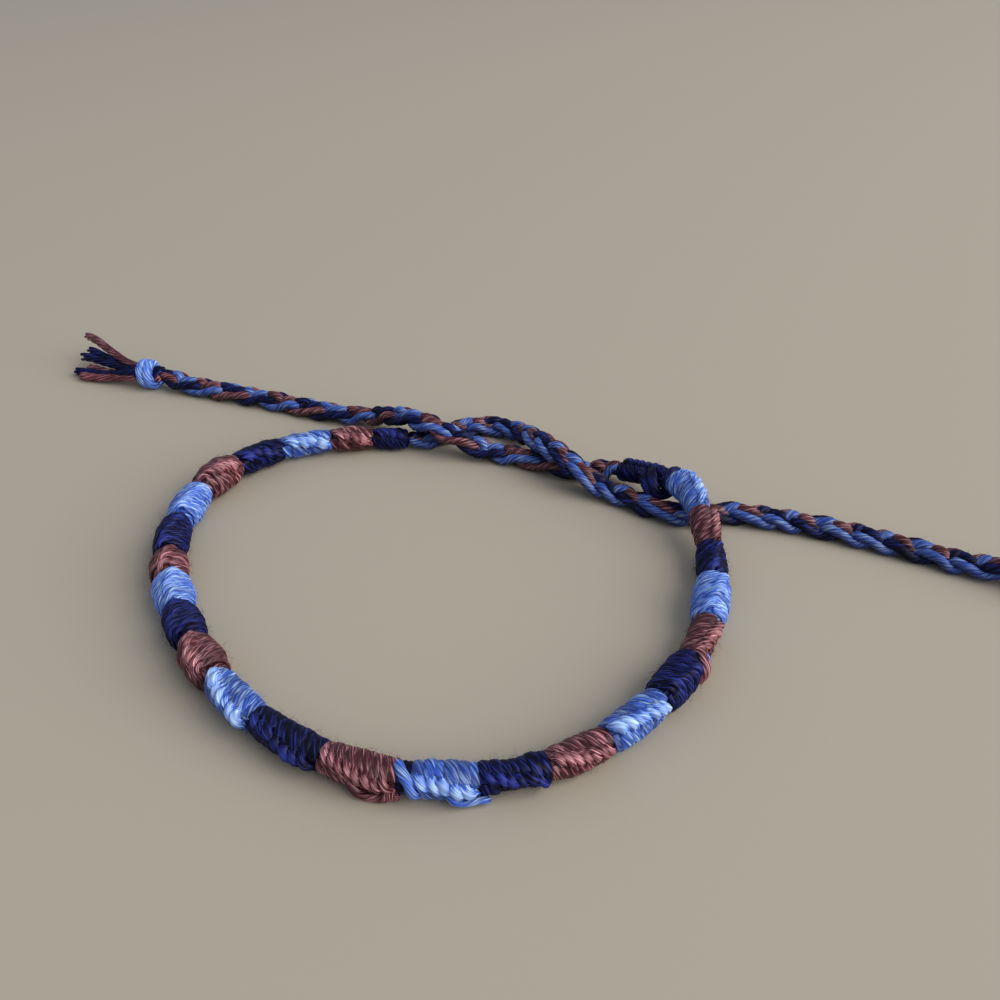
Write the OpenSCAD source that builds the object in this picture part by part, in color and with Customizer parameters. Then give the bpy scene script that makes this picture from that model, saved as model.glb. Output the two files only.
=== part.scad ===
// Friendship bracelet of cotton floss, lying open: a band of knotted colour blocks on a core of threads,
// and at each end a flat three-bundle braid that stops in an overhand knot and a cut tassel.
// Millimetres, +Z up, the origin on the table under the middle of the band. The right end of the band
// is where the blocks are numbered from, and from there the band runs clockwise seen from above.

/* [Band] */
// Part of the radius that a block loses at its two ends, where its last hitch turns in
shoulder = 0.24; // [0.1:0.02:0.3]
// Part of the radius by which the line of knots stands out along a block
ridge_relief = 0.12; // [0:0.02:0.2]
// Turn of the line of knots round the band, in degrees for each millimetre of length
ridge_twist = 9; // [0:1:20]
// Space between two blocks
block_gap = 0.12; // [0.05:0.01:0.3]
// Diameter of the bundle of threads inside the blocks
core_d = 1.7; // [1.2:0.1:1.7]
// Space between the bundle and the blocks, on each side
core_gap = 0.15; // [0.1:0.05:0.15]
// Least wall of a block, which its ends come down to
end_wall = 0.25; // [0.2:0.05:0.3]

/* [Rise over the braid] */
// Height that the band rises where the right-hand braid passes under it
rise = 2.4; // [2.2:0.1:2.6]
// Distance along the band of its highest place
rise_at = 9; // [8:0.5:10]
// Distance along the band from there to where it lies flat again
rise_reach = 12; // [11:1:15]

/* [Braids] */
// Width of the flat braid
tie_w = 2.7; // [2.3:0.1:2.8]
// Thickness of the flat braid
tie_t = 2.0; // [1.6:0.1:2.0]

/* [Knots and tassels] */
// Width of an overhand knot
knot_w = 4.4; // [3.8:0.1:4.4]
// Length of an overhand knot along the braid
knot_l = 3.4; // [3:0.1:3.4]
// Part of the knot's radius by which its two wraps stand out
knot_lobe = 0.14; // [0:0.02:0.2]
// Diameter of one floss end in a tassel
floss_d = 0.95; // [0.7:0.05:1.1]

/* [Hidden] */
// Columns of the block table
COLOUR = 0;
LENGTH = 1;
GIRTH = 2;
WAIST = 3;
RIDGE = 4;
BEND = 5;
// One row a block: colour, length, girth, part of the radius lost at its waist, place of its line of
// knots in degrees (0 outside the loop, 90 on top), and bend of the band along it in degrees
BLOCKS = [
    ["navy", 6.8, 2.9, 0.06, 90, 17],
    ["sky", 6.1, 3.3, 0.00, 60, 25],
    ["rose", 4.5, 3.3, 0.00, 120, 11],
    ["navy", 5.4, 3.6, 0.00, 100, 10],
    ["sky", 6.0, 4.1, 0.00, 150, 8],
    ["rose", 5.8, 3.5, 0.10, 50, 11],
    ["navy", 5.8, 4.0, 0.00, 80, 12],
    ["sky", 6.3, 3.7, 0.04, 60, 12],
    ["rose", 5.6, 3.4, 0.00, 40, 15],
    ["navy", 5.4, 3.4, 0.12, 20, 15],
    ["sky", 6.2, 3.5, 0.00, 30, 16],
    ["rose", 6.4, 3.5, 0.00, 10, 16],
    ["navy", 7.2, 3.6, 0.08, 70, 14],
    ["sky", 6.2, 3.8, 0.05, 40, 10],
    ["rose", 5.5, 4.3, 0.00, 60, 9],
    ["navy", 5.2, 4.2, 0.00, 40, 5],
    ["sky", 4.8, 4.4, 0.00, 30, 5],
    ["rose", 3.6, 4.4, 0.00, 90, 7],
    ["navy", 6.4, 4.3, 0.06, 80, 15],
    ["sky", 6.0, 4.1, 0.00, 110, 15],
    ["rose", 6.1, 4.3, 0.00, 120, 21],
    ["navy", 5.8, 3.8, 0.08, 160, 21],
    ["sky", 6.0, 3.5, 0.08, 140, 19],
    ["rose", 5.1, 3.4, 0.00, 150, 11],
    ["navy", 4.1, 3.0, 0.00, 120, 3],
];
band_start = [20.1, 18.6];
band_heading = -38;

// Places along the middle of the left-hand braid, from the band's right end to the knot
LEFT_ROUTE = [
    [19.9, 18.8, 1.8], [18.9, 19.4, 1.5], [17.2, 19.5, 1.1], [15.3, 20.0, 1.0], [13.2, 20.6, 1.0],
    [11.3, 21.6, 1.0], [9.2, 22.5, 1.0], [7.2, 23.3, 1.0], [5.1, 23.9, 1.2], [3.0, 24.2, 1.8],
    [1.0, 24.6, 2.6], [-0.8, 25.3, 3.2], [-2.7, 26.7, 3.4], [-4.5, 27.9, 3.3], [-6.3, 29.3, 2.8],
    [-8.1, 30.6, 2.1], [-10.5, 31.8, 1.4], [-13.2, 32.8, 1.0], [-16.6, 34.0, 1.0], [-21.2, 35.9, 1.0],
    [-26.2, 37.8, 1.0], [-31.0, 39.5, 1.0], [-35.0, 40.8, 1.2], [-37.0, 41.5, 1.7], [-38.4, 41.9, 1.9],
];
// Places along the middle of the right-hand braid, from the band's left end to the knot
RIGHT_ROUTE = [
    [-4.5, 26.4, 1.3], [-3.5, 26.5, 1.1], [-2.4, 27.0, 1.0], [-1.0, 27.8, 1.0], [0.5, 28.7, 1.0],
    [2.1, 29.5, 1.0], [3.9, 30.0, 1.0], [5.9, 29.9, 1.0], [7.7, 28.9, 1.2], [9.0, 27.2, 1.6],
    [10.1, 24.9, 2.4], [11.3, 22.2, 3.2], [12.7, 19.9, 3.4], [14.2, 17.9, 3.1], [15.5, 16.8, 2.4],
    [16.8, 16.1, 1.7], [18.2, 15.5, 1.2], [19.8, 14.6, 1.0], [21.7, 13.2, 1.0], [23.7, 11.7, 1.0],
    [26.1, 10.8, 1.0], [28.5, 11.0, 1.0], [30.9, 11.2, 1.0], [33.4, 10.7, 1.0], [36.0, 10.0, 1.0],
    [38.9, 9.1, 1.0], [43.0, 7.4, 1.0], [47.4, 5.3, 1.0], [51.6, 3.0, 1.0], [54.4, 1.5, 1.2],
    [56.2, 0.5, 1.7], [57.4, -0.2, 1.9],
];

// Columns of the tassel tables
FAN = 1;
REACH = 2;
TIP = 3;
// One row a floss end: colour, heading of its tip, how far it reaches, height of its tip
LEFT_TASSEL = [
    ["rose", 134, 13.4, 3.0],
    ["sky", 141, 11.6, 2.2],
    ["navy", 147, 13.2, 1.3],
    ["rose", 153, 10.4, 0.8],
    ["navy", 160, 11.4, 0.6],
    ["sky", 167, 9.0, 0.6],
];
RIGHT_TASSEL = [
    ["navy", -14, 12.4, 0.6],
    ["rose", -20, 13.6, 1.4],
    ["sky", -26, 12.0, 2.4],
    ["navy", -32, 13.0, 1.0],
    ["rose", -39, 11.8, 0.6],
    ["sky", -46, 10.6, 0.6],
];

sides = 12; // flats round a block or a knot
cord_sides = 8; // flats round a braid, the core or a floss end
shell_stations = [0, 0.08, 0.22, 0.38, 0.5, 0.62, 0.78, 0.92, 1];
bore_stations = [0, 0.5, 1];
shoulder_power = 6; // how late a block's ends turn in
line_power = 4; // how narrow its line of knots is
squash = 0.6; // share of the relief pressed flat where a block lies on the table
join_gap = 0.15; // between a braid, its knot and its tassel
knot_stations = [-1, -0.86, -0.6, -0.2, 0.2, 0.6, 0.86, 1];
knot_taper = 0.45; // part of a knot's radius lost at its two ends
knot_slant = 110; // turn of its wraps from the middle to an end, in degrees
collar_l = 2.4; // length of the gathered part of a tassel, behind the knot
collar_r = 1.15; // its radius at the knot
collar_taper = 0.25; // how much thinner it is at its far end
collar_drop = 0.4; // how far it comes down
lock_stations = [0, 0.12, 0.35, 0.65, 1];
lock_sides = 6;
lock_taper = 0.1; // part of a floss end's radius lost at its tip

count = len(BLOCKS);
bore_r = core_d / 2 + core_gap;
BLOCK_NAMES = [
    for (i = [0:count - 1]) str("block_", i < 9 ? "0" : "", i + 1, "_", BLOCKS[i][COLOUR])
];

// Small helpers
function thread_colour(name) = name == "navy" ? "#23286b" : name == "sky" ? "#7397e6" : "#8f4f57";
function unit(v) = v / norm(v);
function mix(a, b, t) = a + (b - a) * t;
function clamp_index(i) = max(0, min(count - 1, i));
function bump(t) = abs(t) < 1 ? (1 + cos(180 * t)) / 2 : 0;
function flip(list) = [for (i = [len(list) - 1:-1:0]) list[i]];

// The chord of an arc of this length that sets out on a heading and bends to the right
function chord(length, bend, heading) =
    length * (abs(bend) < 0.01 ? 1 : sin(bend / 2) / (bend * PI / 360))
    * [cos(heading - bend / 2), sin(heading - bend / 2)];

// Where each block starts: place, heading, and distance along the band
starts = [
    for (
        i = 0, place = band_start, heading = band_heading, run = 0;
        i <= count;
        place = place + (i < count ? chord(BLOCKS[i][LENGTH], BLOCKS[i][BEND], heading) : [0, 0]),
        heading = heading - (i < count ? BLOCKS[i][BEND] : 0),
        run = run + (i < count ? BLOCKS[i][LENGTH] : 0),
        i = i + 1
    ) [place, heading, run]
];

// Height of the band's middle: each block lies on the table by its own girth, and the band rises once
function girth_at(i, u) =
    u < 0.5
        ? mix(BLOCKS[clamp_index(i - 1)][GIRTH], BLOCKS[i][GIRTH], 0.5 + u)
        : mix(BLOCKS[i][GIRTH], BLOCKS[clamp_index(i + 1)][GIRTH], u - 0.5);
function band_z(i, u) =
    girth_at(i, u) / 2 * (1 - squash * ridge_relief)
    + rise * bump((starts[i][2] + u * BLOCKS[i][LENGTH] - rise_at) / rise_reach);

// The band's middle and its direction, at the fraction u of block i
function band_place(i, u) = concat(
    starts[i][0] + chord(BLOCKS[i][LENGTH] * u, BLOCKS[i][BEND] * u, starts[i][1]),
    band_z(i, u)
);
function band_aim(i, u) =
    let (
        heading = starts[i][1] - BLOCKS[i][BEND] * u,
        slope = (band_z(i, u + 0.01) - band_z(i, u - 0.01)) / (0.02 * BLOCKS[i][LENGTH])
    )
    unit([cos(heading), sin(heading), slope]);

// A ring of points square to a direction; radii gives the half width and half height for each angle
function ring_points(place, aim, radii) =
    let (left = unit([-aim.y, aim.x, 0]), up = cross(aim, left))
    [for (k = [0:len(radii) - 1])
        let (angle = 360 * k / len(radii))
        place + radii[k].x * cos(angle) * left + radii[k].y * sin(angle) * up];
function round_ring(place, aim, r, n) = ring_points(place, aim, [for (k = [1:n]) [r, r]]);

// Triangles between ring a and ring b, which hold n points each and start at those numbers
function band_faces(a, b, n) = [
    for (k = [0:n - 1])
        let (next = (k + 1) % n)
        each [[a + k, b + k, b + next], [a + k, b + next, a + next]]
];

// A closed tube through rings of n points
module tube(rings, n) {
    last = (len(rings) - 1) * n;
    polyhedron(
        points = [for (ring = rings) each ring],
        faces = concat(
            [[for (k = [0:n - 1]) k]],
            [for (j = [0:len(rings) - 2]) each band_faces(j * n, (j + 1) * n, n)],
            [[for (k = [n - 1:-1:0]) last + k]]
        )
    );
}

// A tube with a bore: the bore's rings run back from the far end to the near one
module sleeve(shell, bore, n) {
    rings = concat(shell, flip(bore));
    polyhedron(
        points = [for (ring = rings) each ring],
        faces = [for (j = [0:len(rings) - 1]) each band_faces(j * n, ((j + 1) % len(rings)) * n, n)]
    );
}

// Outer radius of a block round its middle: rounded shoulders, a waist, and a low line of knots
function block_radii(i, u) =
    let (
        b = BLOCKS[i],
        swell = 1 - shoulder * pow(abs(2 * u - 1), shoulder_power) - b[WAIST] * bump(2 * u - 1),
        line = b[RIDGE] + ridge_twist * (u - 0.5) * b[LENGTH]
    )
    [for (k = [0:sides - 1])
        let (
            knots = 1 - ridge_relief * (1 - pow(cos((360 * k / sides - line) / 2), line_power)),
            r = max(bore_r + end_wall, b[GIRTH] / 2 * swell * knots)
        )
        [r, r]];

module knotted_block(i) {
    inset = block_gap / 2 / BLOCKS[i][LENGTH];
    shell = [for (t = shell_stations) let (u = mix(inset, 1 - inset, t))
        ring_points(band_place(i, u), band_aim(i, u), block_radii(i, t))];
    bore = [for (t = bore_stations) let (u = mix(inset, 1 - inset, t))
        round_ring(band_place(i, u), band_aim(i, u), bore_r, sides)];
    color(thread_colour(BLOCKS[i][COLOUR])) sleeve(shell, bore, sides);
}

module core_threads() {
    rings = concat(
        [for (i = [0:count - 1]) for (u = [0, 0.5])
            round_ring(band_place(i, u), band_aim(i, u), core_d / 2, cord_sides)],
        [round_ring(band_place(count - 1, 1), band_aim(count - 1, 1), core_d / 2, cord_sides)]
    );
    color(thread_colour("navy")) tube(rings, cord_sides);
}

// The level direction in which a route ends, and a place past its end
function end_aim(route) =
    let (step = route[len(route) - 1] - route[len(route) - 2]) unit([step.x, step.y, 0]);
function past_end(route, distance) = route[len(route) - 1] + distance * end_aim(route);

// A flat braid along a route
module tie(route) {
    last = len(route) - 1;
    rings = [for (j = [0:last])
        ring_points(
            route[j],
            j == last ? end_aim(route) : unit(route[j + 1] - route[max(0, j - 1)]),
            [for (k = [1:cord_sides]) [tie_w / 2, tie_t / 2]]
        )];
    color("#3c4a94") tube(rings, cord_sides);
}

// An overhand knot: a short barrel whose two wraps run round it on a slant
module overhand_knot(route) {
    rings = [for (t = knot_stations)
        ring_points(
            past_end(route, join_gap + knot_l / 2 * (1 + t)),
            end_aim(route),
            [for (k = [0:sides - 1])
                let (
                    taper = 1 - knot_taper * pow(abs(t), 4),
                    wraps = 1 - knot_lobe * (1 - cos(2 * 360 * k / sides + knot_slant * t)) / 2,
                    r = knot_w / 2 * taper * wraps
                )
                [r, r]]
        )];
    color(thread_colour("sky")) tube(rings, sides);
}

// A floss end that leaves the collar and comes down towards the table
module floss_end(root, heading, reach, tip) {
    rings = [for (t = lock_stations)
        let (
            low = mix(root.z, tip, 1 - pow(1 - t, 2)),
            slope = (tip - root.z) * 2 * (1 - t) / reach,
            aim = unit([cos(heading), sin(heading), slope])
        )
        round_ring([root.x, root.y, low] + reach * t * [cos(heading), sin(heading), 0],
            aim, floss_d / 2 * (1 - lock_taper * t), lock_sides)];
    tube(rings, lock_sides);
}

// A tassel: a gathered collar behind the knot, and the cut floss ends that fan out of it
module tassel(route, ends) {
    root = past_end(route, 2 * join_gap + knot_l);
    heading = mix(ends[0][FAN], ends[len(ends) - 1][FAN], 0.5);
    fan_aim = [cos(heading), sin(heading), 0];
    collar = [for (t = [0, 0.4, 1])
        let (aim = unit(mix(end_aim(route), fan_aim, t)))
        round_ring(root + collar_l * t * aim - [0, 0, collar_drop * t], aim,
            collar_r - collar_taper * t, cord_sides)];
    union() {
        color(thread_colour("navy")) tube(collar, cord_sides);
        for (end = ends)
            color(thread_colour(end[COLOUR]))
                floss_end(root + floss_d / 2 * end_aim(route), end[FAN], end[REACH], end[TIP]);
    }
}

for (i = [0:count - 1])
    knotted_block(i);
core_threads();
tie(LEFT_ROUTE);  // tie_left
tie(RIGHT_ROUTE);  // tie_right
overhand_knot(LEFT_ROUTE);  // knot_left
overhand_knot(RIGHT_ROUTE);  // knot_right
tassel(LEFT_ROUTE, LEFT_TASSEL);  // tassel_left
tassel(RIGHT_ROUTE, RIGHT_TASSEL);  // tassel_right
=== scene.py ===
# A knotted friendship bracelet of cotton embroidery floss, lying open on a pale table.
# Sizes are in millimetres and are turned to metres where a mesh is made.
import bpy
import numpy as np
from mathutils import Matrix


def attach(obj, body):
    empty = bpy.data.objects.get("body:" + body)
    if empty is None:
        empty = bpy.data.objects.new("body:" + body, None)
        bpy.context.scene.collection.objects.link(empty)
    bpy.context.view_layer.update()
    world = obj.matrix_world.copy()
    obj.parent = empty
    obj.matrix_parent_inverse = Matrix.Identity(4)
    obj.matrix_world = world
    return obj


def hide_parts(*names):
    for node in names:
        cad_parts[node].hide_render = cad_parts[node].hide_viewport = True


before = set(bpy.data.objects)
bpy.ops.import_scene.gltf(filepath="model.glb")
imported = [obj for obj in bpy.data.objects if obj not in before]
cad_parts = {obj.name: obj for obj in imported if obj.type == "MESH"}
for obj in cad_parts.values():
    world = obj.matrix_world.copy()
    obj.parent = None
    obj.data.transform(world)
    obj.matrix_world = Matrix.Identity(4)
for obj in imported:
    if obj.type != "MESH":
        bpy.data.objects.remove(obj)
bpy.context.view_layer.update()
mm = 0.001
scene = bpy.context.scene
print("frame loaded:", len(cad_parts), "solids")


# Turns an sRGB hex colour to linear light: ((c + 0.055) / 1.055) ** 2.4, or c / 12.92 where c is dark.
def linearColour(hexCode):
    channels = np.array([int(hexCode[i:i + 2], 16) / 255 for i in (1, 3, 5)])
    bright = ((channels + 0.055) / 1.055) ** 2.4
    return (*np.where(channels > 0.04045, bright, channels / 12.92), 1.0)


# Adds one node with its settings, and its inputs as values or as links from other nodes' outputs.
def addNode(tree, kind, inputs=None, **settings):
    node = tree.nodes.new(kind)
    for name, value in settings.items():
        setattr(node, name, value)
    for name, value in (inputs or {}).items():
        if isinstance(value, bpy.types.NodeSocket):
            tree.links.new(value, node.inputs[name])
        else:
            node.inputs[name].default_value = value
    return node


# Scales each vector to length 1.
def unit(vectors):
    return vectors / np.maximum(np.linalg.norm(vectors, axis=-1, keepdims=True), 1e-12)


# Distance along a line of points: the running sum of the steps between them.
def runLength(points):
    steps = np.linalg.norm(np.diff(points, axis=0), axis=1)
    return np.concatenate([[0.0], np.cumsum(steps)])


# Even points on the smooth curve through the given ones. Each span is the cubic whose slope at a point is
# half the step from the point before to the point after; the points are then spaced by distance.
def smoothPath(points, step, samples=16):
    p = np.asarray(points, float)
    ends = np.vstack([2 * p[0] - p[1], p, 2 * p[-1] - p[-2]])
    a, b, c, d = ends[:-3, None], ends[1:-2, None], ends[2:-1, None], ends[3:, None]
    t = np.linspace(0, 1, samples, endpoint=False)[None, :, None]
    cubic = 2 * b + (c - a) * t + (2 * a - 5 * b + 4 * c - d) * t ** 2 + (3 * b - a - 3 * c + d) * t ** 3
    fine = np.vstack([0.5 * cubic.reshape(-1, 3), p[-1:]])
    run = runLength(fine)
    at = np.linspace(0, run[-1], int(run[-1] / step) + 2)
    return np.stack([np.interp(at, run, fine[:, axis]) for axis in range(3)], axis=1)


# A smooth random drift along t: size times the sum of three sines of rising pitch and falling height, over
# 1.6 so that the sum stays near -1 to 1. The pitch is in waves for each unit of t.
def drift(rng, t, size, pitch):
    phase = rng.random(3)
    waves = [np.sin(2 * np.pi * (t * pitch * f + phase[k])) / f for k, f in enumerate((1, 1.7, 2.9))]
    return size * (sum(waves) / 1.6)


# A step that eases from 0 to 1: 3 t^2 - 2 t^3.
def ease(t):
    t = np.clip(t, 0, 1)
    return t * t * (3 - 2 * t)


# Closed tubes through centres[tube, ring]. A ring's point is its centre + f (wide cos a * side + high sin a *
# out), where out is made square to the line's direction and side is out x ahead. A floss of several strands
# has f = 1 - groove (1 - sin(pi s)), with s from 0 to 1 across each strand, and its a turns once in each
# twist along it. Each end closes on a pole. UV runs once round the tube, and in millimetres along it. A tone
# of 0 is the dyed colour, 1 is dark and -1 light, and it carries random tone as well as painted shade and
# painted highlight; to it comes the painted crease shade, its weight times (1 - sin a) / 2, darkest on the
# side away from out.
def tubes(centres, out, wide, sides, slot=0, tone=0.0, high=None, strandCount=0, groove=0.1, twist=-5.5,
          paintedCreaseShade=0.0):
    centres = np.asarray(centres, float)
    count, rings = centres.shape[:2]
    ahead = unit(np.gradient(centres, axis=1))
    out = np.broadcast_to(out, centres.shape)
    out = unit(out - (out * ahead).sum(-1, keepdims=True) * ahead)
    side = np.cross(out, ahead)
    run = np.cumsum(np.linalg.norm(np.diff(centres, axis=1, prepend=centres[:, :1]), axis=-1), axis=1)
    high = wide if high is None else high
    wide = np.broadcast_to(wide, (count, rings))[..., None, None]
    high = np.broadcast_to(high, (count, rings))[..., None, None]
    share = np.arange(sides) / sides
    angle = 2 * np.pi * (share + (strandCount > 0) * run[..., None] / twist)[..., None]
    shape = 1 - groove * (strandCount > 0) * (1 - np.abs(np.sin(np.pi * strandCount * share)))[:, None]
    ring = centres[:, :, None] + shape * (wide * np.cos(angle) * side[:, :, None]
                                          + high * np.sin(angle) * out[:, :, None])
    poles = np.stack([centres[:, 0] - 0.5 * high[:, 0, 0] * ahead[:, 0],
                      centres[:, -1] + 0.5 * high[:, -1, 0] * ahead[:, -1]], axis=1)
    base = (np.arange(count) * rings * sides)[:, None, None]
    row = np.arange(rings - 1)[None, :, None] * sides
    k = np.arange(sides)[None, None, :]
    after = (k + 1) % sides
    near, far = base + row, base + row + sides
    quads = np.stack([near + k, near + after, far + after, far + k], axis=-1).reshape(-1, 4)
    first = base[:, 0] + k[0]
    firstAfter = base[:, 0] + after[0]
    last = (rings - 1) * sides
    pole = count * rings * sides + 2 * np.arange(count)[:, None] + np.zeros((1, sides), int)
    caps = np.concatenate([np.stack([pole, firstAfter, first], axis=-1).reshape(-1, 3),
                           np.stack([pole + 1, first + last, firstAfter + last], axis=-1).reshape(-1, 3)])
    u = np.stack([k, k + 1, k + 1, k], axis=-1) / sides + np.zeros((count, rings - 1, 1, 1))
    v = np.stack([run[:, :-1], run[:, :-1], run[:, 1:], run[:, 1:]], axis=-1)[:, :, None] + np.zeros_like(u)
    capU = np.stack([k[0] + 0.5, k[0] + 1, k[0]], axis=-1) / sides + np.zeros((count, 1, 1))
    capV = np.zeros_like(capU)
    quadUv = np.stack([u, v], axis=-1).reshape(-1, 2)
    capUv = np.concatenate([np.stack([capU, capV + run[:, :1, None]], axis=-1).reshape(-1, 2),
                            np.stack([capU, capV + run[:, -1:, None]], axis=-1).reshape(-1, 2)])
    tone = np.asarray(tone, float)
    tone = np.broadcast_to(tone[:, None] if tone.ndim == 1 else tone, (count, rings))
    # Painted crease shade: darker on the side away from out.
    tones = tone[..., None] + paintedCreaseShade * (1 - np.sin(angle[..., 0])) / 2
    tones = np.concatenate([tones.ravel(), np.stack([tone[:, 0], tone[:, -1]], axis=1).ravel()])
    points = np.concatenate([ring.reshape(-1, 3), poles.reshape(-1, 3)])
    return {"points": points, "quads": quads, "caps": caps, "uv": np.concatenate([quadUv, capUv]),
            "tones": tones, "slot": slot}


# Threads round a line: thread j is off it by radius cos a across and radius sin a out, where
# a = turn + 2 pi j / count. A turn that grows along the line makes the S twist of floss.
def strands(line, out, count, turn, radius):
    ahead = unit(np.gradient(line, axis=0))
    out = np.broadcast_to(out, line.shape)
    out = unit(out - (out * ahead).sum(-1, keepdims=True) * ahead)
    angle = turn + 2 * np.pi * np.arange(count)[:, None] / count
    return (line + (radius * np.cos(angle))[..., None] * np.cross(ahead, out)
            + (radius * np.sin(angle))[..., None] * out)


# Joins parts into one mesh object in metres that rides on the frame and stands for a node. Each piece has
# the floss in all three dyes, and the faces of a part share its slot, which is the number of its dye.
def makePiece(name, parts, node):
    corners, totals, slots, offset = [], [], [], 0
    for part in parts:
        corners += [part["quads"].ravel() + offset, part["caps"].ravel() + offset]
        totals += [np.full(len(part["quads"]), 4), np.full(len(part["caps"]), 3)]
        slots.append(np.full(len(part["quads"]) + len(part["caps"]), part["slot"]))
        offset += len(part["points"])
    corners, totals, slots = np.concatenate(corners), np.concatenate(totals), np.concatenate(slots)
    mesh = bpy.data.meshes.new(name)
    mesh.vertices.add(offset)
    mesh.vertices.foreach_set("co", (np.concatenate([part["points"] for part in parts]) * mm).ravel())
    mesh.loops.add(len(corners))
    mesh.loops.foreach_set("vertex_index", corners.astype(np.int32))
    mesh.polygons.add(len(totals))
    starts = np.concatenate([[0], np.cumsum(totals)[:-1]])
    mesh.polygons.foreach_set("loop_start", starts.astype(np.int32))
    mesh.polygons.foreach_set("material_index", slots.astype(np.int32))
    mesh.polygons.foreach_set("use_smooth", np.ones(len(totals), bool))
    uvMap = mesh.uv_layers.new(name="thread")
    uvMap.data.foreach_set("uv", np.concatenate([part["uv"] for part in parts]).ravel())
    tone = mesh.attributes.new("tone", "FLOAT", "POINT")
    tone.data.foreach_set("value", np.concatenate([part["tones"] for part in parts]))
    mesh.update(calc_edges=True)
    mesh.validate()
    for material in flossList:
        mesh.materials.append(material)
    piece = bpy.data.objects.new(name, mesh)
    scene.collection.objects.link(piece)
    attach(piece, "root")
    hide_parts(node)
    return piece


# The camera stands on the viewer's side of the table and looks down at the loop.
cameraSettings = {
    "place": (6.3, -77.5, 62.5),
    "pitch": 34,  # degrees below level
    "lens": 36,
    "sensor": 36,
    "nearest": 1,
}
camera = bpy.data.cameras.new("camera")
camera.lens = cameraSettings["lens"]
camera.sensor_width = cameraSettings["sensor"]
camera.clip_start = cameraSettings["nearest"] * mm
cameraObject = bpy.data.objects.new("camera", camera)
cameraObject.location = [v * mm for v in cameraSettings["place"]]
cameraObject.rotation_euler = (np.radians(90 - cameraSettings["pitch"]), 0, 0)
scene.collection.objects.link(cameraObject)
scene.camera = cameraObject
print("camera placed")


# Mercerised cotton embroidery floss of six strands: a silky thread with soft, broad highlights along it,
# grooves between its strands darkened with painted shade, fine fibre streaks painted as light glints and
# dark shade, and a halo of loose fibres.
flossSettings = {
    # Each dye has its colour, its shade colour for the painted shade of grooves, dark streaks and shaded
    # parts, its light colour for painted highlights on lit fibres, and glint, which is how far a painted
    # highlight streak goes to that.
    "navy": {"colour": "#04062e", "shadeColour": "#010112", "light": "#4a5ac8", "glint": 0.62, "sheen": 0.01,
             "specular": 0.22},
    "sky": {"colour": "#4678e6", "shadeColour": "#07124f", "light": "#c8e5ff", "glint": 1.0, "sheen": 0.04,
            "specular": 0.5},
    "rose": {"colour": "#5c1a27", "shadeColour": "#1b050e", "light": "#e8a8b0", "glint": 0.95, "sheen": 0.04,
             "specular": 0.5},
    "strands": 6,
    "around": 3,  # millimetres round a thread
    "streak": 1.7,  # millimetres of a fibre streak along the thread
    "fibre": 0.15,  # millimetres between fibre streaks, drawn coarser than the real 0.02 to show
    # The streaks are painted glints and painted shade on the fibres.
    "paintedGlintStreaks": (0.48, 0.68),  # values of the noise over which a streak turns light
    "paintedShadeStreaks": (0.48, 0.3),  # and over which it turns dark
    "paintedStreakShade": 0.6,  # how far it then goes to the deep colour
    # Painted shade in the groove between two strands: how far it goes to the shade colour.
    "grooveShade": 0.5,
    # A tone of 1 paints shade in full and a tone of -1 paints a highlight in full, by this much.
    "toneShade": 0.85,  # how far a tone of 1 goes to the deep colour, or of -1 to the light one
    "toneShift": 1.5,  # moves the streaks from thread to thread
    "streakDepth": 0.02,  # millimetres
    "streakBump": 0.6,
    "roughness": 0.5,
    "anisotropy": 0.6,  # the highlight is wide across the fibres and short along them
    "sheenRoughness": 0.5,
    "ior": 1.53,  # cotton
}
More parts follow.
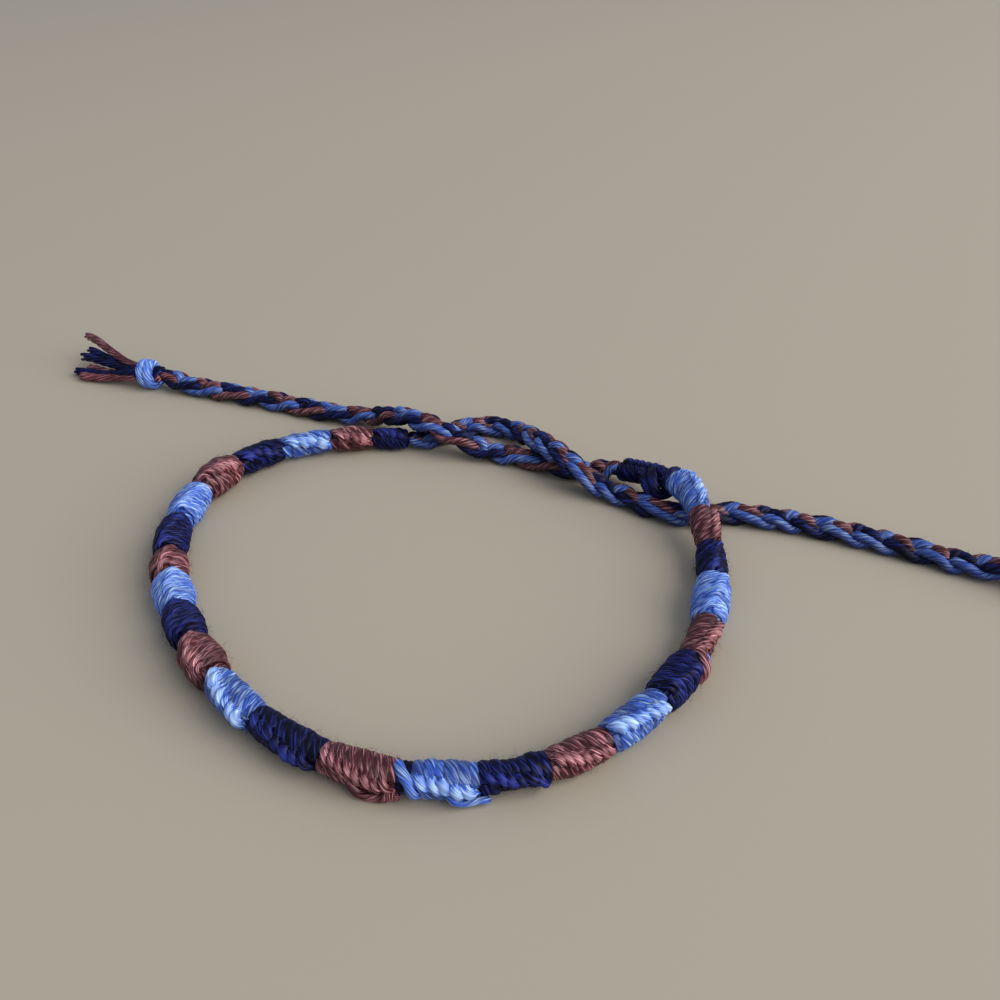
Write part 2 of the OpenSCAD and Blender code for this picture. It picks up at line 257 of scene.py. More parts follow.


# One dye's floss. The streaks are noise that is long along the thread and short across it, painted as light
# glints and dark shade, and the strands are cos(2 pi strands u), which is 1 in the groove between two
# strands and -1 on a strand.
def flossMaterial(name):
    s, dye = flossSettings, flossSettings[name]
    # The dye's shade and light colours are those of its painted shade and its painted highlights.
    shadeColour, light = linearColour(dye["shadeColour"]), linearColour(dye["light"])
    material = bpy.data.materials.new("cotton_floss_" + name)
    material.use_nodes = True
    tree = material.node_tree
    tree.nodes.clear()
    uv = addNode(tree, "ShaderNodeUVMap", uv_map="thread").outputs[0]
    axes = addNode(tree, "ShaderNodeSeparateXYZ", {0: uv}).outputs
    tone = addNode(tree, "ShaderNodeAttribute", attribute_name="tone").outputs["Fac"]
    phase = addNode(tree, "ShaderNodeMath", {0: axes[0], 1: 2 * np.pi * s["strands"]},
                    operation="MULTIPLY").outputs[0]
    strand = addNode(tree, "ShaderNodeMath", {0: phase}, operation="COSINE").outputs[0]
    across = addNode(tree, "ShaderNodeMath", {0: axes[0], 1: s["around"] / s["fibre"]},
                     operation="MULTIPLY").outputs[0]
    along = addNode(tree, "ShaderNodeMath", {0: axes[1], 1: 1 / s["streak"]}, operation="MULTIPLY").outputs[0]
    shift = addNode(tree, "ShaderNodeMath", {0: tone, 1: s["toneShift"]}, operation="MULTIPLY").outputs[0]
    place = addNode(tree, "ShaderNodeCombineXYZ", {0: across, 1: along, 2: shift}).outputs[0]
    streaks = addNode(tree, "ShaderNodeTexNoise", {"Vector": place, "Scale": 1.0, "Detail": 2.0}).outputs[0]
    # Each layer mixes the colour so far with another one, by a share that grows from 0 to the most as the
    # value goes from its start to its end: painted glints and painted shade on the streaks, painted shade in
    # the grooves, and the tone's painted highlight and painted shade.
    layers = (
        (streaks, s["paintedGlintStreaks"], dye["glint"], light),
        (streaks, s["paintedShadeStreaks"], s["paintedStreakShade"], shadeColour),
        (strand, (0.0, 1.0), s["grooveShade"], shadeColour),
        (tone, (0.0, -1.0), s["toneShade"], light),
        (tone, (0.0, 1.0), s["toneShade"], shadeColour),
    )
    dyed = linearColour(dye["colour"])
    for value, (start, end), most, goal in layers:
        share = addNode(tree, "ShaderNodeMapRange", {0: value, 1: start, 2: end, 3: 0.0, 4: most}).outputs[0]
        dyed = addNode(tree, "ShaderNodeMix", {0: share, 6: dyed, 7: goal}, data_type="RGBA").outputs[2]
    bump = addNode(tree, "ShaderNodeBump", {"Height": streaks, "Strength": s["streakBump"],
                                            "Distance": s["streakDepth"] * mm}).outputs[0]
    tangent = addNode(tree, "ShaderNodeTangent", direction_type="UV_MAP", uv_map="thread").outputs[0]
    shader = addNode(tree, "ShaderNodeBsdfPrincipled", {
        "Base Color": dyed, "Roughness": s["roughness"], "IOR": s["ior"], "Normal": bump,
        "Specular IOR Level": dye["specular"], "Anisotropic": s["anisotropy"], "Tangent": tangent,
        "Sheen Weight": dye["sheen"], "Sheen Roughness": s["sheenRoughness"], "Sheen Tint": light})
    addNode(tree, "ShaderNodeOutputMaterial", {0: shader.outputs[0]})
    return material


slotOf = {"navy": 0, "sky": 1, "rose": 2}
flossList = [flossMaterial(name) for name in slotOf]
print("floss materials made")


# Loose cotton fibres: thin tapered hairs that leave a surface at the given roots. A hair's point at the
# share t of its length is root + length (t * lean + t^2 * curl), and its radius falls with 1 - 0.8 t.
fuzzSettings = {
    "radius": 0.012,
    "taper": 0.8,
    "short": 0.2,
    "long": 0.9,
    "out": (0.35, 0.7),  # how far a hair leans out of the surface at least, and how much more at most
    "along": 1.2,  # the most that it leans along the surface
    "across": 0.8,
    "curl": 0.5,
    "droop": 0.2,
    "roll": 0.3,  # keeps its section's own direction off its line
    "lowest": 0.03,  # height of its middle over the table
    "tone": 0.2,  # to each side of the dyed colour
    "rings": 4,
    "sides": 3,
}


def fuzz(rng, roots, outward, along, slot, longest=fuzzSettings["long"]):
    s = fuzzSettings
    count = len(roots)
    random = rng.random((count, 6, 1))
    length = s["short"] + (longest - s["short"]) * random[:, 0] ** 2
    across = np.cross(outward, along)
    lean = unit(outward * (s["out"][0] + s["out"][1] * random[:, 1])
                + along * (2 * random[:, 2] - 1) * s["along"] + across * (2 * random[:, 3] - 1) * s["across"])
    curl = (across * (2 * random[:, 4] - 1) * s["curl"] + along * (2 * random[:, 5] - 1) * s["curl"]
            - outward * s["droop"])
    t = np.linspace(0, 1, s["rings"])[None, :, None]
    centres = roots[:, None] + length[:, None] * (t * lean[:, None] + t ** 2 * curl[:, None])
    centres[..., 2] = np.maximum(centres[..., 2], s["lowest"])
    radius = s["radius"] * (1 - s["taper"] * t[..., 0]) + np.zeros((count, 1))
    return tubes(centres, outward[:, None] + s["roll"] * across[:, None], radius, s["sides"], slot,
                 s["tone"] * (2 * rng.random(count) - 1))


# The two braided ties. Each route is a list of places in millimetres, from the band's end to the knot.
tieSettings = {
    "tie_left": {
        "route": [
            (19.9, 18.8, 1.8), (18.9, 19.4, 1.5), (17.2, 19.5, 1.1), (15.3, 20.0, 1.0), (13.2, 20.6, 1.0),
            (11.3, 21.6, 1.0), (9.2, 22.5, 1.0), (7.2, 23.3, 1.0), (5.1, 23.9, 1.2), (3.0, 24.2, 1.8),
            (1.0, 24.6, 2.6), (-0.8, 25.3, 3.2), (-2.7, 26.7, 3.4), (-4.5, 27.9, 3.3), (-6.3, 29.3, 2.8),
            (-8.1, 30.6, 2.1), (-10.5, 31.8, 1.4), (-13.2, 32.8, 1.0), (-16.6, 34.0, 1.0), (-21.2, 35.9, 1.0),
            (-26.2, 37.8, 1.0), (-31.0, 39.5, 1.0), (-35.0, 40.8, 1.2), (-37.0, 41.5, 1.7),
            (-38.4, 41.9, 1.9),
        ],
        "length": 64,
        "period": 11.2,  # one bundle's whole swing from edge to edge and back
        "bundles": [("sky", "rose"), ("rose", "navy"), ("navy", "sky")],  # left and right thread of each
        "phase": 0.1,  # share of a swing at the start
        "seed": 11,
    },
    "tie_right": {
        "route": [
            (-4.5, 26.4, 1.3), (-3.5, 26.5, 1.1), (-2.4, 27.0, 1.0), (-1.0, 27.8, 1.0), (0.5, 28.7, 1.0),
            (2.1, 29.5, 1.0), (3.9, 30.0, 1.0), (5.9, 29.9, 1.0), (7.7, 28.9, 1.2), (9.0, 27.2, 1.6),
            (10.1, 24.9, 2.4), (11.3, 22.2, 3.2), (12.7, 19.9, 3.4), (14.2, 17.9, 3.1), (15.5, 16.8, 2.4),
            (16.8, 16.1, 1.7), (18.2, 15.5, 1.2), (19.8, 14.6, 1.0), (21.7, 13.2, 1.0), (23.7, 11.7, 1.0),
            (26.1, 10.8, 1.0), (28.5, 11.0, 1.0), (30.9, 11.2, 1.0), (33.4, 10.7, 1.0), (36.0, 10.0, 1.0),
            (38.9, 9.1, 1.0), (43.0, 7.4, 1.0), (47.4, 5.3, 1.0), (51.6, 3.0, 1.0), (54.4, 1.5, 1.2),
            (56.2, 0.5, 1.7), (57.4, -0.2, 1.9),
        ],
        "length": 75,
        "period": 9.6,
        "bundles": [("rose", "navy"), ("navy", "sky"), ("rose", "sky")],
        "phase": 0.017,
        "seed": 12,
    },
}
braidSettings = {
    "width": 2.7,
    "step": 0.28,  # between the rings
    "lift": 0.16,  # of the braid's middle over its route
    "swing": 0.62,  # of a bundle's middle, to each side
    "weave": 0.42,  # of a bundle's middle, up and down
    "wander": (0.35, 0.11),  # of a bundle's phase: size in radians, and waves in a millimetre
    "gather": 2.2,  # length over which the braid draws in at its two ends
    "drawn": 0.5,  # to this part of its width
    "pairGap": 0.82,  # between the middles of a bundle's two threads
    "gapDrift": (0.12, 0.3),
    "tilt": 36,  # degrees by which a bundle rolls over at an edge
    "thread": 0.54,  # radius of a thread
    "threadDrift": (0.06, 0.25),
    "wide": 1.04,  # part of that radius across the thread
    "high": 0.94,  # and up
    "rest": 0.96,  # part of it that a thread's middle keeps over the table
    "groove": 0.11,
    "twist": -4.6,  # millimetres in which a thread's strands turn once, against the screw
    # Painted shade: each dye's threads in the ties are darkened by this much, as they lie in shade.
    "tone": {"navy": 0.2, "sky": 0.3, "rose": 0.15},
    "toneSpread": 0.3,
    # Painted shade on the threads' undersides.
    "paintedCreaseShade": 0.8,
    "sides": 24,
    "hairs": 90,
    "hairRoot": 1.3,  # distance of a hair's root from the bundle's middle, in thread radii
    "hairLowest": 0.05,
    "hairLong": 0.8,
}


# A line's directions: ahead, level left of it, and up square to both.
def lineAxes(path):
    ahead = unit(np.gradient(path, axis=0))
    left = unit(np.stack([-ahead[:, 1], ahead[:, 0], np.zeros(len(path))], axis=1))
    return ahead, left, np.cross(ahead, left)


# A three-bundle braid along a path. At the phase a = 2 pi (run / period + bundle / 3) a bundle's middle is
# off the path by swing sin a to the left and weave sin 2a up. Its two threads lie side by side, square to
# the bundle, and roll over at the edges; each thread is a floss of six strands.
def braidParts(path, tie):
    s = braidSettings
    rng = np.random.default_rng(tie["seed"])
    run = runLength(path)
    ahead, left, up = lineAxes(path)
    gather = s["drawn"] + (1 - s["drawn"]) * ease(run / s["gather"]) * ease((run[-1] - run) / s["gather"])
    parts = []
    for bundle, colours in enumerate(tie["bundles"]):
        a = 2 * np.pi * (run / tie["period"] + bundle / 3 + tie["phase"]) + drift(rng, run, *s["wander"])
        middle = path + (s["swing"] * gather * np.sin(a))[:, None] * left + (
            s["lift"] + s["weave"] * gather * np.sin(2 * a))[:, None] * up
        slope = s["swing"] * 2 * np.pi / tie["period"] * np.cos(a)
        square = unit(left - slope[:, None] * ahead)
        roll = np.radians(s["tilt"]) * np.sin(a)
        for sign, colour in zip((1, -1), colours):
            offset = sign * s["pairGap"] / 2 * gather * (1 + drift(rng, run, *s["gapDrift"]))
            thread = middle + offset[:, None] * (np.cos(roll)[:, None] * square - np.sin(roll)[:, None] * up)
            radius = s["thread"] * (1 + drift(rng, run, *s["threadDrift"]))
            thread[:, 2] = np.maximum(thread[:, 2], radius * s["rest"])
            # Each thread gets its dye's painted shade and a random spread more.
            tone = s["tone"][colour] + s["toneSpread"] * rng.random(1)
            parts.append(tubes(thread[None], up[None], radius * s["wide"], s["sides"], slotOf[colour], tone,
                               radius * s["high"], flossSettings["strands"], s["groove"], s["twist"],
                               s["paintedCreaseShade"]))
        hairs = rng.integers(2, len(path) - 2, s["hairs"])
        around = rng.random(s["hairs"])[:, None] * 2 * np.pi
        outward = np.cos(around) * left[hairs] + np.sin(around) * up[hairs]
        roots = middle[hairs] + outward * s["thread"] * s["hairRoot"]
        roots[:, 2] = np.maximum(roots[:, 2], s["hairLowest"])
        parts.append(fuzz(rng, roots, outward, ahead[hairs], slotOf[colours[0]], s["hairLong"]))
    return parts


ties = {}
for name, tie in tieSettings.items():
    path = smoothPath(tie["route"], braidSettings["step"])
    piece = makePiece(name + "_braid", braidParts(path, tie), name)
    ties[name] = {"piece": piece, "path": path}
    print(name, "is", round(runLength(path)[-1], 1), "mm long")


# The band, with one row a block from its right end on. In a row, waist and shoulder are the parts of the
# radius lost at the block's middle and ends, line is the place of its line of hitches in degrees (0 outside
# the loop, 90 on top, 180 inside), bend is in degrees, stand is how far a hitch stands out in millimetres,
# and loose is how loosely it is wound.
bandSettings = {
    "start": (20.1, 18.6),
    "heading": -38,  # degrees from +X
    "rise": 2.4,  # height of the hump over the right-hand tie
    "riseAt": 9,  # distance of its top along the band
    "riseReach": 12,  # and of its foot from there, on each side
    "shoulderPower": 3.0,
    "relief": 0.12,  # part of the radius by which flat floss lies lower than the hitches
    "squash": 0.6,  # part of the relief by which a block settles on the table
    "twist": 9,  # degrees of turn of the hitches for each millimetre
    "columns": ("colour", "length", "girth", "waist", "line", "bend", "hitches", "stand", "loose",
                "shoulder"),
    "rows": [
        ("navy", 6.8, 2.9, 0.06, 90, 17, 6, 0.16, 0.6, 0.14),
        ("sky", 6.1, 3.3, 0.00, 55, 25, 8, 0.26, 0.6, 0.26),
        ("rose", 4.5, 3.3, 0.00, 50, 11, 6, 0.22, 0.6, 0.24),
        ("navy", 5.4, 3.6, 0.00, 80, 10, 5, 0.12, 0.6, 0.26),
        ("sky", 6.0, 4.1, 0.00, 72, 8, 11, 0.05, 0.9, 0.16),
        ("rose", 5.8, 3.5, 0.10, 45, 11, 7, 0.28, 0.6, 0.26),
        ("navy", 5.8, 4.0, 0.00, 50, 12, 10, 0.06, 0.8, 0.20),
        ("sky", 6.3, 3.7, 0.04, 50, 12, 7, 0.30, 0.8, 0.28),
        ("rose", 5.6, 3.4, 0.00, 40, 15, 7, 0.26, 0.7, 0.26),
        ("navy", 5.4, 3.5, 0.22, 22, 15, 6, 0.22, 0.9, 0.18),
        ("sky", 6.2, 3.5, 0.00, 27, 16, 5, 0.30, 0.9, 0.26),
        ("rose", 6.4, 3.5, 0.00, 30, 16, 8, 0.24, 0.5, 0.20),
        ("navy", 7.2, 3.6, 0.08, 27, 14, 7, 0.24, 0.8, 0.26),
        ("sky", 6.2, 3.8, 0.05, 45, 10, 7, 0.34, 0.8, 0.32),
        ("rose", 5.5, 4.4, 0.00, 60, 9, 7, 0.26, 0.9, 0.46),
        ("navy", 5.2, 4.2, 0.00, 60, 5, 8, 0.10, 0.7, 0.40),
        ("sky", 4.8, 4.4, 0.00, 90, 5, 11, 0.06, 1.0, 0.32),
        ("rose", 3.6, 4.4, 0.00, 90, 7, 5, 0.16, 0.7, 0.36),
        ("navy", 6.4, 4.3, 0.06, 90, 15, 8, 0.12, 0.8, 0.40),
        ("sky", 6.0, 4.1, 0.00, 110, 15, 8, 0.08, 0.8, 0.36),
        ("rose", 6.1, 4.4, 0.00, 120, 21, 8, 0.24, 0.9, 0.46),
        ("navy", 5.8, 3.8, 0.08, 140, 21, 4, 0.20, 0.7, 0.28),
        ("sky", 6.0, 3.5, 0.08, 140, 19, 4, 0.36, 0.9, 0.30),
        ("rose", 5.1, 3.4, 0.00, 145, 11, 4, 0.36, 0.9, 0.34),
        ("navy", 4.1, 3.0, 0.00, 120, 3, 4, 0.16, 0.6, 0.24),
    ],
    "bare": {11: 1.1},  # millimetres at a block's far end where only the core shows
}
blocks = [dict(zip(bandSettings["columns"], row)) for row in bandSettings["rows"]]
blockLength, blockGirth, blockBend = (np.array([block[column] for block in blocks], float)
                                      for column in ("length", "girth", "bend"))
blockRun = np.concatenate([[0.0], np.cumsum(blockLength)])
blockHeading = bandSettings["heading"] - np.concatenate([[0.0], np.cumsum(blockBend)])


# The step from the start of an arc that bends to the right by b: its length times sin(b/2) / (b/2), in the
# heading at its start less b/2.
def arcStep(length, bend, heading):
    half = np.radians(bend) / 2
    middle = np.radians(heading) - half
    return (length * np.sinc(half / np.pi))[..., None] * np.stack([np.cos(middle), np.sin(middle)], axis=-1)


blockStart = np.array(bandSettings["start"]) + np.concatenate(
    [np.zeros((1, 2)), np.cumsum(arcStep(blockLength, blockBend, blockHeading[:-1]), axis=0)])


# The band's middle and its directions ahead, outside and up, at distances along it. Each block is an arc,
# lies on the table by its own girth, and the band rises by a cosine hump over the right-hand tie.
def bandLine(run):
    s = bandSettings
    i = np.clip(np.searchsorted(blockRun, run, side="right") - 1, 0, len(blocks) - 1)
    u = (run - blockRun[i]) / blockLength[i]
    heading = blockHeading[i] - blockBend[i] * u
    flat = blockStart[i] + arcStep(blockLength[i] * u, blockBend[i] * u, blockHeading[i])
    centreRun = (blockRun[1:] + blockRun[:-1]) / 2
    girth = np.interp(run, centreRun, blockGirth)
    far = np.clip(np.abs(run - s["riseAt"]) / s["riseReach"], 0, 1)
    height = girth / 2 * (1 - s["squash"] * s["relief"]) + s["rise"] * (1 + np.cos(np.pi * far)) / 2
    place = np.concatenate([flat, height[..., None]], axis=-1)
    slope = -s["rise"] * np.pi / 2 / s["riseReach"] * np.sin(np.pi * far) * np.sign(run - s["riseAt"])
    angle = np.radians(heading)
    ahead = unit(np.stack([np.cos(angle), np.sin(angle), slope], axis=-1))
    outside = np.stack([-np.sin(angle), np.cos(angle), np.zeros_like(angle)], axis=-1)
    return place, ahead, outside, np.cross(ahead, outside)


# A block's radius at the share u of its length: girth / 2 times 1, less shoulder |2u - 1| ^ shoulderPower,
# less waist times a cosine hump at its middle.
def blockRadius(i, u):
    block = blocks[i]
    edge = np.abs(2 * u - 1)
    swell = (1 - block["shoulder"] * edge ** bandSettings["shoulderPower"]
             - block["waist"] * (1 + np.cos(np.pi * np.clip(edge, 0, 1))) / 2)
    return block["girth"] / 2 * swell


# A place at a distance along the band, an angle round it in radians and a radius, and the way out there.
def onBand(run, angle, radius):
    place, ahead, outside, up = bandLine(run)
    out = np.cos(angle)[..., None] * outside + np.sin(angle)[..., None] * up
    return place + radius[..., None] * out, out, ahead


# Half-hitches of floss: near the line of hitches it runs aslant over one pitch and stands up plumply with a
# painted highlight, and round the rest of the band it lies flat under painted shade.
hitchSettings = {
    "slantReach": 0.055,  # share of a turn, on each side of the line, over which it runs aslant
    "standReach": 0.08,  # share of a turn, on each side, over which it stands up
    "tilt": 0.14,  # part of the pitch that it gains evenly round the band
    "tail": 0.05,  # share of a turn left off at each end of a block's floss
    "slow": 18,  # rings on a hitch's slant
    "fast": 12,  # rings on each side of the slant
    "flatWide": 0.74,  # half width where it lies flat, as part of the pitch
    "flatHigh": 0.22,  # half height there, in millimetres
    "plumpWide": 0.5,
    "plumpHigh": 0.48,
    "plumpShare": 0.62,  # the most that the half height may be, as part of the pitch
    # From this stand on, a hitch is plump and has its painted highlight in full.
    "fullStand": 0.3,  # the stand at which a hitch is plump and light in full
    "lift": 1.3,  # of a hitch, in stands
    "margin": 0.85,  # between the floss's middle and the block's ends, in half widths
    # How far a loosely wound hitch strays: along the band in pitches, round it in degrees, and in width
    # and height as parts of them.
    "slide": 0.35,
    "swing": 14,
    "swell": 0.4,
    "rise": 0.6,
    "lump": (0.05, 0.45),  # of the block's radius: size, and waves in a turn
    # Painted shade where the floss lies flat, and a painted highlight where it stands up plump in the light.
    "flatPaintedShade": 0.5,
    "plumpPaintedHighlight": {"navy": -0.35, "sky": -0.45, "rose": -0.25},
    "toneDrift": (0.28, 0.8),
    # The higher this power, the shorter the painted highlight on a stroke.
    "strokePower": 1.5,  # how short the light stroke is
    # Painted shade on the side of the floss that faces the core.
    "paintedCreaseShade": 0.7,
    "twist": -5.5,
    "groove": 0.1,
    "sides": 24,
    "seed": 40,
    "hairs": 140,
}
layerSettings = {
    "under": 0.9,  # below the block's radius, in half heights of the flat floss
    "core": 1.25,  # radius where only the core shows
    "inset": 0.03,  # from the block's ends
    "rib": 0.05,
    "ribPitch": 0.45,
    "step": 0.1,
    "sides": 18,
    # Painted shade: the layer lies low under the floss and is darkened by this tone.
    "tone": 0.4,
}


# The floss of one block follows angle = line + 2 pi k and along = pitch (n + s), where n is the nearest
# whole number to k and s eases from 0 to 1 as k passes n. Its section is flat, and plump on the slant.
def hitchParts(i, length, rng):
    s, h, block = bandSettings, hitchSettings, blocks[i]
    whole, hitches = block["length"], block["hitches"]
    pitch = length / (hitches + 1)
    share = np.concatenate([np.linspace(-0.5, -h["standReach"], h["fast"], endpoint=False),
                            np.linspace(-h["standReach"], h["standReach"], h["slow"], endpoint=False),
                            np.linspace(h["standReach"], 0.5, h["fast"], endpoint=False)])
    knots = np.arange(-1, hitches + 1)
    k = (knots[:, None] + share).ravel()
    k = k[(k > h["tail"] - 1) & (k < hitches - h["tail"])]
    near = np.round(k)
    away = k - near
    jitter = block["loose"] * (rng.random((4, len(knots))) - 0.5)
    slide, swing, swell, rise = [np.interp(k, knots, row) for row in jitter]
    full = min(1, block["stand"] / h["fullStand"])
    stroke = (1 + np.cos(np.pi * np.clip(away / h["standReach"], -1, 1))) / 2 * (near > -1) * (near < hitches)
    along = (1 - h["tilt"]) * (near + ease((away / h["slantReach"] + 1) / 2)) + h["tilt"] * (k + 0.5)
    wide = pitch * (h["flatWide"] + (h["plumpWide"] - h["flatWide"]) * stroke) * (1 + h["swell"] * swell)
    plump = min(h["plumpHigh"], h["plumpShare"] * pitch)
    high = h["flatHigh"] + (plump - h["flatHigh"]) * stroke * full * (1 + h["rise"] * rise)
    x = pitch * (along + 0.5 + h["slide"] * slide)
    x = np.clip(x, h["margin"] * wide, length - h["margin"] * wide)
    u = x / whole
    line = block["line"] + s["twist"] * (u - 0.5) * whole + h["swing"] * swing
    radius = blockRadius(i, u) * (1 - s["relief"] + s["relief"] * stroke)
    radius = radius * (1 + block["loose"] * drift(rng, k, *h["lump"]))
    radius = radius + block["stand"] * stroke * (h["lift"] + rise)
    centres, out = onBand(blockRun[i] + x, np.radians(line) + 2 * np.pi * k, radius - high)[:2]
    centres[:, 2] = np.maximum(centres[:, 2], high)
    # Painted shade on the flat floss eases into a painted highlight on the stroke; a random drift is added.
    shade = h["flatPaintedShade"] + (h["plumpPaintedHighlight"][block["colour"]] - h["flatPaintedShade"]) * stroke ** h["strokePower"]
    tone = shade * full + drift(rng, k, *h["toneDrift"])
    return tubes(centres[None], out[None], wide, h["sides"], slotOf[block["colour"]], tone[None], high,
                 flossSettings["strands"], h["groove"], h["twist"], h["paintedCreaseShade"])


# A finely ribbed layer that closes the gaps under the floss, between two distances along a block. Its
# radius is the block's, or the given one, plus rib cos(2 pi distance / ribPitch), and its tone paints shade
# on it.
def layerPart(i, first, last, slot, radius=None):
    s = layerSettings
    at = np.linspace(first, last, max(6, int((last - first) / s["step"])))
    place, *_, up = bandLine(blockRun[i] + at)
    if radius is None:
        radius = (blockRadius(i, at / blockLength[i]) * (1 - bandSettings["relief"])
                  - s["under"] * hitchSettings["flatHigh"])
    radius = radius + s["rib"] * np.cos(2 * np.pi * at / s["ribPitch"])
    return tubes(place[None], up[None], radius[None], s["sides"], slot, [s["tone"]])


# One block: its hitches, the layer under them, navy where only the core shows, and fibres that stand off it.
def blockParts(i):
    h, layer = hitchSettings, layerSettings
    rng = np.random.default_rng(h["seed"] + i)
    slot, whole = slotOf[blocks[i]["colour"]], blocks[i]["length"]
    length = whole - bandSettings["bare"].get(i + 1, 0)
    parts = [hitchParts(i, length, rng), layerPart(i, layer["inset"], length - layer["inset"], slot)]
    if length < whole:
        parts.append(layerPart(i, length, whole - layer["inset"], slotOf["navy"], layer["core"]))
    spot = rng.random(h["hairs"])
    around = rng.random(h["hairs"]) * 2 * np.pi
    radius = blockRadius(i, spot) * (1 - 0.5 * bandSettings["relief"])
    roots, out, ahead = onBand(blockRun[i] + spot * whole, around, radius)
    parts.append(fuzz(rng, roots, out, ahead, slot))
    return parts


# Stray turns of floss: one row a turn, as block, colour, half width and half height, and its places as
# distance along the block, angle round it in degrees, and height over the block.
straySettings = {
    "step": 0.12,
    "tone": 0.3,
    "paintedCreaseShade": 0.5,
    # Painted shade on the side of a stray turn that faces the block.
    "edge": 0.03,  # share of the block's length past which its radius is held
    "seed": 900,
    "turns": [
        (1, "navy", 0.7, 0.55, [(3.4, 130, -0.6), (4.2, 165, 0.0), (5.1, 198, 0.6), (5.8, 226, 0.9),
                                (6.5, 262, -0.1)]),
        (1, "navy", 0.7, 0.55, [(4.6, 110, -0.6), (5.4, 150, 0.0), (6.1, 190, 0.5), (6.6, 224, 0.7),
                                (7.2, 262, -0.2)]),
        (2, "navy", 0.45, 0.25, [(0.1, -90, -0.4), (0.2, -30, -0.1), (0.35, 30, 0.0), (0.45, 90, 0.0),
                                 (0.3, 150, -0.1), (0.1, 210, -0.4)]),
        (7, "rose", 0.5, 0.34, [(-0.6, 74, -0.5), (-0.1, 54, -0.05), (0.5, 36, 0.0), (1.1, 16, 0.0),
                                (1.6, -10, -0.4)]),
        (7, "rose", 0.42, 0.3, [(-0.5, 40, -0.4), (0.0, 18, -0.05), (0.6, -4, 0.0), (1.0, -30, -0.4)]),
        (7, "sky", 0.16, 0.12, [(-0.5, 54, -0.1), (-0.35, 36, 0.15), (-0.2, 18, 0.0)]),
        (8, "sky", 0.13, 0.13, [(6.2, 118, -0.2), (6.1, 100, 0.14), (5.5, 84, 0.2), (4.7, 70, -0.1)]),
        (11, "sky", 0.46, 0.38, [(6.6, 140, -0.8), (6.35, 112, -0.35), (6.1, 84, -0.2), (5.7, 58, -0.1),
                                 (5.2, 36, 0.05), (4.9, 12, 0.0), (4.7, -20, -0.4)]),
        (11, "sky", 0.4, 0.32, [(2.3, -6, -0.5), (1.9, -24, -0.05), (1.2, -33, 0.1), (0.4, -36, 0.2),
                                (-0.3, -38, 0.25), (-0.4, -50, 0.25), (0.2, -60, 0.2), (1.1, -60, 0.1),
                                (1.8, -62, -0.2), (2.2, -74, -0.5)]),
        (12, "rose", 0.5, 0.38, [(3.6, -16, -0.5), (2.8, -34, 0.05), (1.7, -42, 0.15), (0.7, -34, 0.1),
                                 (0.2, -6, -0.4)]),
        (12, "rose", 0.48, 0.38, [(2.8, -60, -0.4), (1.9, -56, 0.0), (1.0, -50, 0.1), (0.3, -46, 0.1),
                                  (-0.1, -42, 0.05)]),
    ],
}


# A stray turn: the smooth curve through its places on the band, with a floss along it.
def strayPart(turn, seed):
    s, h = straySettings, hitchSettings
    number, colour, wide, high, places = turn
    rng = np.random.default_rng(seed)
    i = number - 1
    radius = blockGirth[i] / 2
    chart = np.array(places, float)
    chart[:, 1] = np.radians(chart[:, 1]) * radius
    chart = smoothPath(chart, s["step"])
    surface = blockRadius(i, np.clip(chart[:, 0] / blockLength[i], s["edge"], 1 - s["edge"]))
    line, out = onBand(blockRun[i] + chart[:, 0], chart[:, 1] / radius, surface + chart[:, 2])[:2]
    line[:, 2] = np.maximum(line[:, 2], high)
    return tubes(line[None], out[None], wide, h["sides"], slotOf[colour], s["tone"] * rng.random(1), high,
                 flossSettings["strands"], h["groove"], h["twist"], s["paintedCreaseShade"])


for i, block in enumerate(blocks):
    node = f"block_{i + 1:02d}_{block['colour']}"
    strays = [strayPart(turn, straySettings["seed"] + j) for j, turn in enumerate(straySettings["turns"])
              if turn[0] == i + 1]
    makePiece(node + "_hitches", blockParts(i) + strays, node)
print(len(blocks), "hitched blocks made")


# The carried threads inside the blocks: one in the middle and six round it, which turn slowly.
coreSettings = {
    "radius": 0.28,
    "ring": 0.56,
    "turn": 22,  # millimetres in which they turn once
    "inset": 0.05,
    "step": 0.6,
    "sides": 8,
    "colours": ["rose", "navy", "sky", "navy", "rose", "sky", "navy"],
}
run = np.arange(coreSettings["inset"], blockRun[-1] - coreSettings["inset"], coreSettings["step"])
place, _, outside, up = bandLine(run)
coreParts = []
for index, colour in enumerate(coreSettings["colours"]):
    angle = 2 * np.pi * (index / 6 + run / coreSettings["turn"])
    ring = coreSettings["ring"] * (index > 0)
    centres = place + ring * (np.cos(angle)[:, None] * outside + np.sin(angle)[:, None] * up)
    coreParts.append(tubes(centres[None], up[None], coreSettings["radius"], coreSettings["sides"],
                           slotOf[colour], [index / 14]))
makePiece("core_carried_threads", coreParts, "core_threads")
print("core made")


